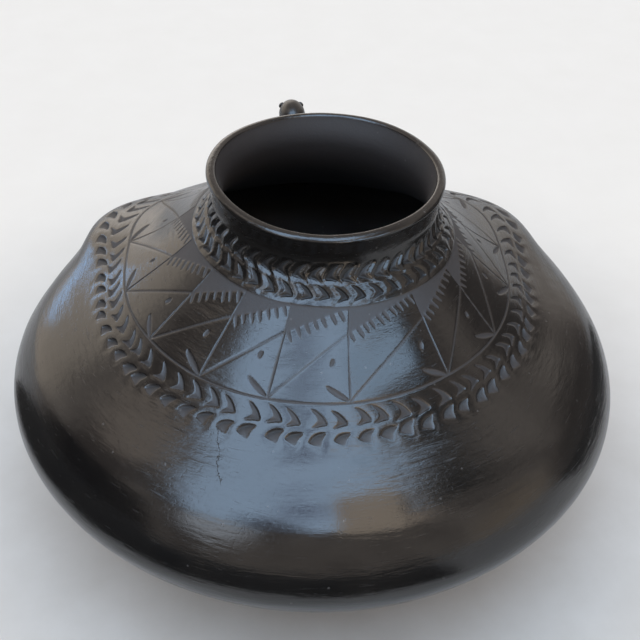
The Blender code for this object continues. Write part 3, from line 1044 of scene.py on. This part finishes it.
def ball(name, centre, size, tilt=None):
    mesh = bpy.data.meshes.new(name)
    grow = bmesh.new()
    bmesh.ops.create_uvsphere(grow, u_segments=48, v_segments=24, radius=0.5)
    bmesh.ops.scale(grow, vec=size, verts=grow.verts)
    if tilt:
        bmesh.ops.rotate(grow, cent=(0, 0, 0), matrix=tilt, verts=grow.verts)
    bmesh.ops.translate(grow, vec=centre, verts=grow.verts)
    grow.to_mesh(mesh)
    grow.free()
    return bpy.data.objects.new(name, mesh)


def modelled(name, lumps, grain, smoothing):
    """Lumps of clay run together into one skin, as wet fingers leave them."""
    for lump in lumps:
        bpy.context.scene.collection.objects.link(lump)
    if len(lumps) > 1:
        with bpy.context.temp_override(
                active_object=lumps[0], selected_editable_objects=lumps, selected_objects=lumps):
            bpy.ops.object.join()
    piece = lumps[0]
    remesh = piece.modifiers.new("one_skin", "REMESH")
    remesh.mode = "VOXEL"
    remesh.voxel_size = grain
    smooth = piece.modifiers.new("wet_fingers", "SMOOTH")
    smooth.factor = 0.5
    smooth.iterations = smoothing
    graph = bpy.context.evaluated_depsgraph_get()
    mesh = bpy.data.meshes.new_from_object(piece.evaluated_get(graph))
    mesh.name = name
    bpy.data.objects.remove(piece, do_unlink=True)
    mesh.shade_smooth()
    return placed(name, mesh)


def carve_piece(piece, cut):
    """Pushes the skin in by cut(points), and marks the clay bare there."""
    mesh = piece.data
    points = np.empty(3 * len(mesh.vertices), np.float32)
    normals = np.empty_like(points)
    mesh.vertices.foreach_get("co", points)
    mesh.vertices.foreach_get("normal", normals)
    points, normals = points.reshape(-1, 3), normals.reshape(-1, 3)
    depth = cut(points)
    mesh.vertices.foreach_set("co", (points - normals * depth[:, None]).ravel())
    mark = mesh.attributes.new("bare", "FLOAT", "POINT")
    mark.data.foreach_set("value", smooth_step(depth, 0.00004, 0.00015).astype(np.float32))
    mesh.update()


def make_bird():
    throat = HEAD_CENTRE - Vector((0.0, THROAT_BACK, 0.0))
    foot = shoulder_point(HEAD_CENTRE.y - THROAT_BACK - ROOT_RADIUS / 2)
    root = foot - Vector((0.0, 0.0, ROOT_SINK))
    points, radii = [], []
    for step in range(NECK_STEPS + 1):
        share = step / NECK_STEPS
        bow = Vector((0.0, math.sin(math.pi * share) * THROAT_RADIUS / 2, 0.0))
        points.append(root.lerp(throat, share) - bow)
        radii.append(THROAT_RADIUS + (ROOT_RADIUS - THROAT_RADIUS) * (1 - share) ** 2)
    neck = tube("neck", points, radii)
    head = ball("head", HEAD_CENTRE, HEAD_SIZE)
    aim = Vector((0.0, math.cos(BEAK_DROOP), -math.sin(BEAK_DROOP)))
    beak_root = HEAD_CENTRE + Vector((0.0, HEAD_SIZE.y / 2 - BEAK_INSET, 0.0))
    steps = range(BEAK_STEPS + 1)
    beak = tube(
        "beak", [beak_root + aim * BEAK_LENGTH * i / BEAK_STEPS for i in steps],
        [BEAK_RADIUS * (1 - i / BEAK_STEPS) ** 0.7 + BEAK_TIP for i in steps], 24)
    luting = []
    reach = ROOT_RADIUS * 0.98
    for k in range(LUTING_STEPS):
        turn = TURN * k / LUTING_STEPS
        seat = shoulder_point(foot.y + reach * math.sin(turn))
        luting.append(seat + Vector((reach * math.cos(turn), 0.0, -LUTING_SINK)))
    luting.append(luting[0])
    seam = tube("seam", luting, [LUTING_RADIUS] * len(luting), 16)
    return modelled("bird", [neck, head, beak, seam], BIRD_GRAIN, 14)


bird = make_bird()
SLIT_DEPTH, RING_DEPTH = 0.0003, 0.00028
RING_DROPS = (0.0085, 0.0102)


def bird_marks(points):
    """The slit of the beak, and two rings drawn round the throat."""
    _, y, z = points.T
    ahead = y - HEAD_CENTRE.y
    slit = np.abs(z - HEAD_CENTRE.z + 0.0003 + 0.30 * np.maximum(ahead - 0.004, 0))
    open_beak = smooth_step(ahead, 0.0058, 0.0075)
    depth = SLIT_DEPTH * smooth_step(0.00045 - slit, 0, 0.00035) * open_beak
    behind = y < HEAD_CENTRE.y + 0.004
    for drop in RING_DROPS:
        off = np.abs(z - (HEAD_CENTRE.z - drop) + 0.12 * ahead)
        depth = np.maximum(depth, RING_DEPTH * smooth_step(0.0005 - off, 0, 0.0004) * behind)
    return depth


carve_piece(bird, bird_marks)
bird_clay = clay_finish("bird_clay", 0.32, 0.6, 0.06)
finish_piece(bird, bird_clay, "effigy_clay", "effigy_neck", "effigy_head", "effigy_beak")

EYE_SIZE = 0.0030
EYE_GRAIN = 0.00012
REED_RADIUS, REED_DEPTH = 0.0008, 0.00022
for word in ("eye_left", "eye_right"):
    low, high = (Vector(corner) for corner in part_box("effigy_" + word))
    centre = (low + high) / 2
    away = (centre - HEAD_CENTRE).normalized()
    seat = centre - away * EYE_SIZE * 0.12
    turned = away.to_track_quat("Z", "Y").to_matrix()
    pellet = ball(word + "_pellet", seat, Vector((1, 1, 0.62)) * EYE_SIZE, turned)
    eye = modelled("bird_" + word, [pellet], EYE_GRAIN, 4)
    reed = np.array(seat + away * EYE_SIZE * 0.31)

    def reed_ring(points, reed=reed):
        off = np.abs(np.linalg.norm(points - reed, axis=1) - REED_RADIUS)
        return REED_DEPTH * smooth_step(0.0003 - off, 0, 0.00028)

    carve_piece(eye, reed_ring)
    finish_piece(eye, bird_clay, "effigy_clay", "effigy_" + word)

# The floor.
# A plain pale floor that pales to white away from the jar, and two dark sheets, in front
# and at the right, that only the shine of the clay shows: painted dark reflections that
# stand in for shaded surroundings.
def staged(name, corners, faces, material):
    """A sheet that stands round the jar and is no part of it."""
    mesh = bpy.data.meshes.new(name)
    mesh.from_pydata(corners, [], faces)
    mesh.materials.append(material)
    sheet = placed(name, mesh)
    return sheet


def only_mirrored(sheet):
    sheet.visible_camera = sheet.visible_diffuse = sheet.visible_shadow = False


PAPER_DARK, PAPER_PALE = (0.55, 0.50, 0.44), (0.61, 0.56, 0.50)
PAPER_WHITE = (1.0, 0.99, 0.975)
GLARE_NEAR, GLARE_FAR, GLARE = 0.09, 0.30, 0.68
FLOOR_HALF, FLOOR_DROP = 4, 0.0002
paper, tree, shader = new_material("pale_paper")
fibres = noise(tree, object_place(tree), 30.0, 5.0, 0.6)
tint = blend_colours(tree, stretch(tree, fibres, 0.3, 0.7), PAPER_DARK, PAPER_PALE)
white = put(tree, "ShaderNodeEmission")
ray = put(tree, "ShaderNodeLightPath")
away = vector_node(tree, "LENGTH", object_place(tree))
glare = stretch(tree, away, GLARE_NEAR, GLARE_FAR, 0.0, GLARE, smooth=True)
mixed = put(tree, "ShaderNodeMixShader")
wire(
    tree, (tint, shader.inputs["Base Color"]), (0.8, shader.inputs["Roughness"]),
    (PAPER_WHITE, white.inputs["Color"]),
    (times(tree, ray.outputs["Is Camera Ray"], glare), mixed.inputs[0]),
    (shader.outputs[0], mixed.inputs[1]), (white.outputs[0], mixed.inputs[2]),
    (mixed.outputs[0], tree.nodes["Material Output"].inputs["Surface"]))
square = [(x * FLOOR_HALF, y * FLOOR_HALF) for x, y in ((-1, -1), (1, -1), (1, 1), (-1, 1))]
staged("floor", [(x, y, -FLOOR_DROP) for x, y in square], [range(4)], paper)

# Painted dark reflection: sheets seen only in the polish, never by the camera or as shadow.
SHEET_SHADE_COLOUR = (0.03, 0.025, 0.02)
SHADE_SHEET_FAR, SHADE_SHEET_HEIGHT = 3.0, 0.001
sheet_shade, tree, shader = new_material("painted_dark_reflection")
wire(tree, (SHEET_SHADE_COLOUR, shader.inputs["Base Color"]), (0.9, shader.inputs["Roughness"]))
for name, start, end, near in (("front_shade_sheet", -204, -60, 0.21), ("right_shade_sheet", -14, 30, 0.30)):
    turns = np.radians(np.linspace(start, end, 25))
    edge = [(near, a) for a in turns] + [(SHADE_SHEET_FAR, a) for a in turns[::-1]]
    corners = [(reach * math.cos(a), reach * math.sin(a), SHADE_SHEET_HEIGHT) for reach, a in edge]
    only_mirrored(staged(name, corners, [range(len(corners))], sheet_shade))

# The light.
# Soft light as in open shade, all from the world: cool sky overhead and to the left, warm
# pale walls behind and beside, and darker bushes between them. Three small cards glow close
# to the jar, for reflections that change from place to place on it.
SKY = (2.5, 3.4, 4.6)
BEIGE = (2.1, 1.75, 1.4)
CARD_STEPS = 8


def glow_card(name, first, last, upper, lower, colour):
    """An arc of light close to the jar, seen only in its polish; angles in degrees from +X."""
    angles = np.radians(np.linspace(first, last, CARD_STEPS + 1))
    corners = [
        (radius * math.cos(a), radius * math.sin(a), height)
        for radius, height in (upper, lower) for a in angles]
    faces = [(i, i + 1, CARD_STEPS + i + 2, CARD_STEPS + i + 1) for i in range(CARD_STEPS)]
    glow, tree, shader = new_material(name + "_glow")
    wire(
        tree, ((0.0, 0.0, 0.0), shader.inputs["Base Color"]),
        (colour, shader.inputs["Emission Color"]), (1.0, shader.inputs["Emission Strength"]))
    only_mirrored(staged(name, corners, faces, glow))


glow_card("panel_card", -84, -50, (0.090, 0.180), (0.107, 0.166), (2.0, 2.8, 3.8))
glow_card("belly_card", -91, -74, (0.119, 0.156), (0.163, 0.126), BEIGE)
glow_card("flank_card", 139, 150, (0.235, 0.126), (0.235, 0.114), (2.2, 3.7, 6.0))


def toward(azimuth, elevation):
    """A direction: azimuth to the right of the camera's side, elevation above the floor."""
    turn, rise = math.radians(azimuth), math.radians(elevation)
    out = math.cos(rise)
    return Vector((math.sin(turn) * out, -math.cos(turn) * out, math.sin(rise)))


SHADE = (0.26, 0.22, 0.20)
LIGHT_SHADE = (0.86, 0.76, 0.68)
RAGGED = 0.22
PATCHES = (  # azimuth, elevation, angle of its core and of its soft edge, colour
    (-85, 0, 24, 32, (0.04, 0.035, 0.035)),
    (-97, 33, 10, 15, (0.24, 0.20, 0.18)),
    (-36, 69, 18.4, 22.6, SKY),
    (-10, 74, 16.4, 20.6, SKY),
    (35, 82, 13, 16, SKY),
    (-46, 48, 9.6, 14.4, SKY),
    (-40, 29, 9, 13, (2.3, 2.5, 2.8)),
    (-23, 50, 5, 8, (0.35, 0.35, 0.45)),
    (25, 68, 12, 15, SKY),
    (48, 69, 9, 12, SKY),
    (58, 61, 5, 9, (1.1, 0.92, 0.75)),
    (28, 44, 8.4, 12.6, (1.7, 1.4, 1.15)),
    (-14, 67, 3.5, 7, (0.5, 0.52, 0.85)),
    (69, 54, 7.5, 11, (0.12, 0.11, 0.10)),
    (0, 52, 9, 12, SKY),
    (15, 56, 6, 8, SKY),
    (-112, 53, 10, 15, (1.15, 0.98, 0.84)),
    (-140, 14, 19, 22, (1.35, 1.18, 1.0)),
    (-172, 2, 18, 24, (1.8, 1.65, 1.5)),
    (152, 2, 14, 20, (0.9, 0.85, 0.8)),
    (136, -10, 5, 10, (0.10, 0.09, 0.08)),
    (62, 4, 10, 18, (0.8, 0.66, 0.52)),
    (106, 2, 17, 27, (0.16, 0.14, 0.13)),
)
world = bpy.data.worlds.new("open_shade")
bpy.context.scene.world = world
world.use_nodes = True
tree = world.node_tree
glow = tree.nodes["Background"]
direction = put(tree, "ShaderNodeTexCoord").outputs["Generated"]
wobble = noise(tree, direction, 4.0, 4.0).node.outputs["Color"]
moved = vector_node(tree, "MULTIPLY_ADD", wobble, (RAGGED,) * 3, direction)
facing = vector_node(
    tree, "NORMALIZE", vector_node(tree, "SUBTRACT", moved, (RAGGED / 2,) * 3))
leaves = noise(
    tree, vector_node(tree, "MULTIPLY", direction, (1.0, 1.0, 0.35)), 5.0, 6.0, 0.65)
shade = blend_colours(tree, stretch(tree, leaves, 0.40, 0.62), SHADE, LIGHT_SHADE)
for azimuth, elevation, core, edge, colour in PATCHES:
    near = vector_node(tree, "DOT_PRODUCT", facing, toward(azimuth, elevation))
    rim, heart = (math.cos(math.radians(a)) for a in (edge, core))
    shade = blend_colours(tree, stretch(tree, near, rim, heart, smooth=True), shade, colour)
seen = put(tree, "ShaderNodeBackground")
ray = put(tree, "ShaderNodeLightPath")
pick = put(tree, "ShaderNodeMixShader")
wire(
    tree, (shade, glow.inputs["Color"]), ((1.0, 1.0, 1.0), seen.inputs["Color"]),
    (ray.outputs["Is Camera Ray"], pick.inputs[0]), (glow.outputs[0], pick.inputs[1]),
    (seen.outputs[0], pick.inputs[2]),
    (pick.outputs[0], tree.nodes["World Output"].inputs["Surface"]))

# The camera.
# It looks down on the mouth from in front, a little from the left, and is held slightly
# turned, as the photograph was taken.
AIM = Vector((0.0, 0.0, 0.0892))
AZIMUTH, ELEVATION = -8.0, 39.66
ROLL = math.radians(2.12)
DISTANCE = 0.44226
PHOTO_WIDTH = 640
lens = bpy.data.cameras.new("camera")
lens.sensor_width = 36.0
lens.lens = 59.06
lens.shift_x = 5.22 / PHOTO_WIDTH
lens.shift_y = 0.295 / PHOTO_WIDTH
lens.clip_start = 0.01
camera = placed("camera", lens)
back = toward(AZIMUTH, ELEVATION)
camera.location = AIM + back * DISTANCE
turned = (-back).to_track_quat("-Z", "Y").to_matrix() @ Matrix.Rotation(ROLL, 3, "Z")
camera.rotation_euler = turned.to_euler()
bpy.context.scene.camera = camera
bpy.context.scene.view_settings.view_transform = "Standard"
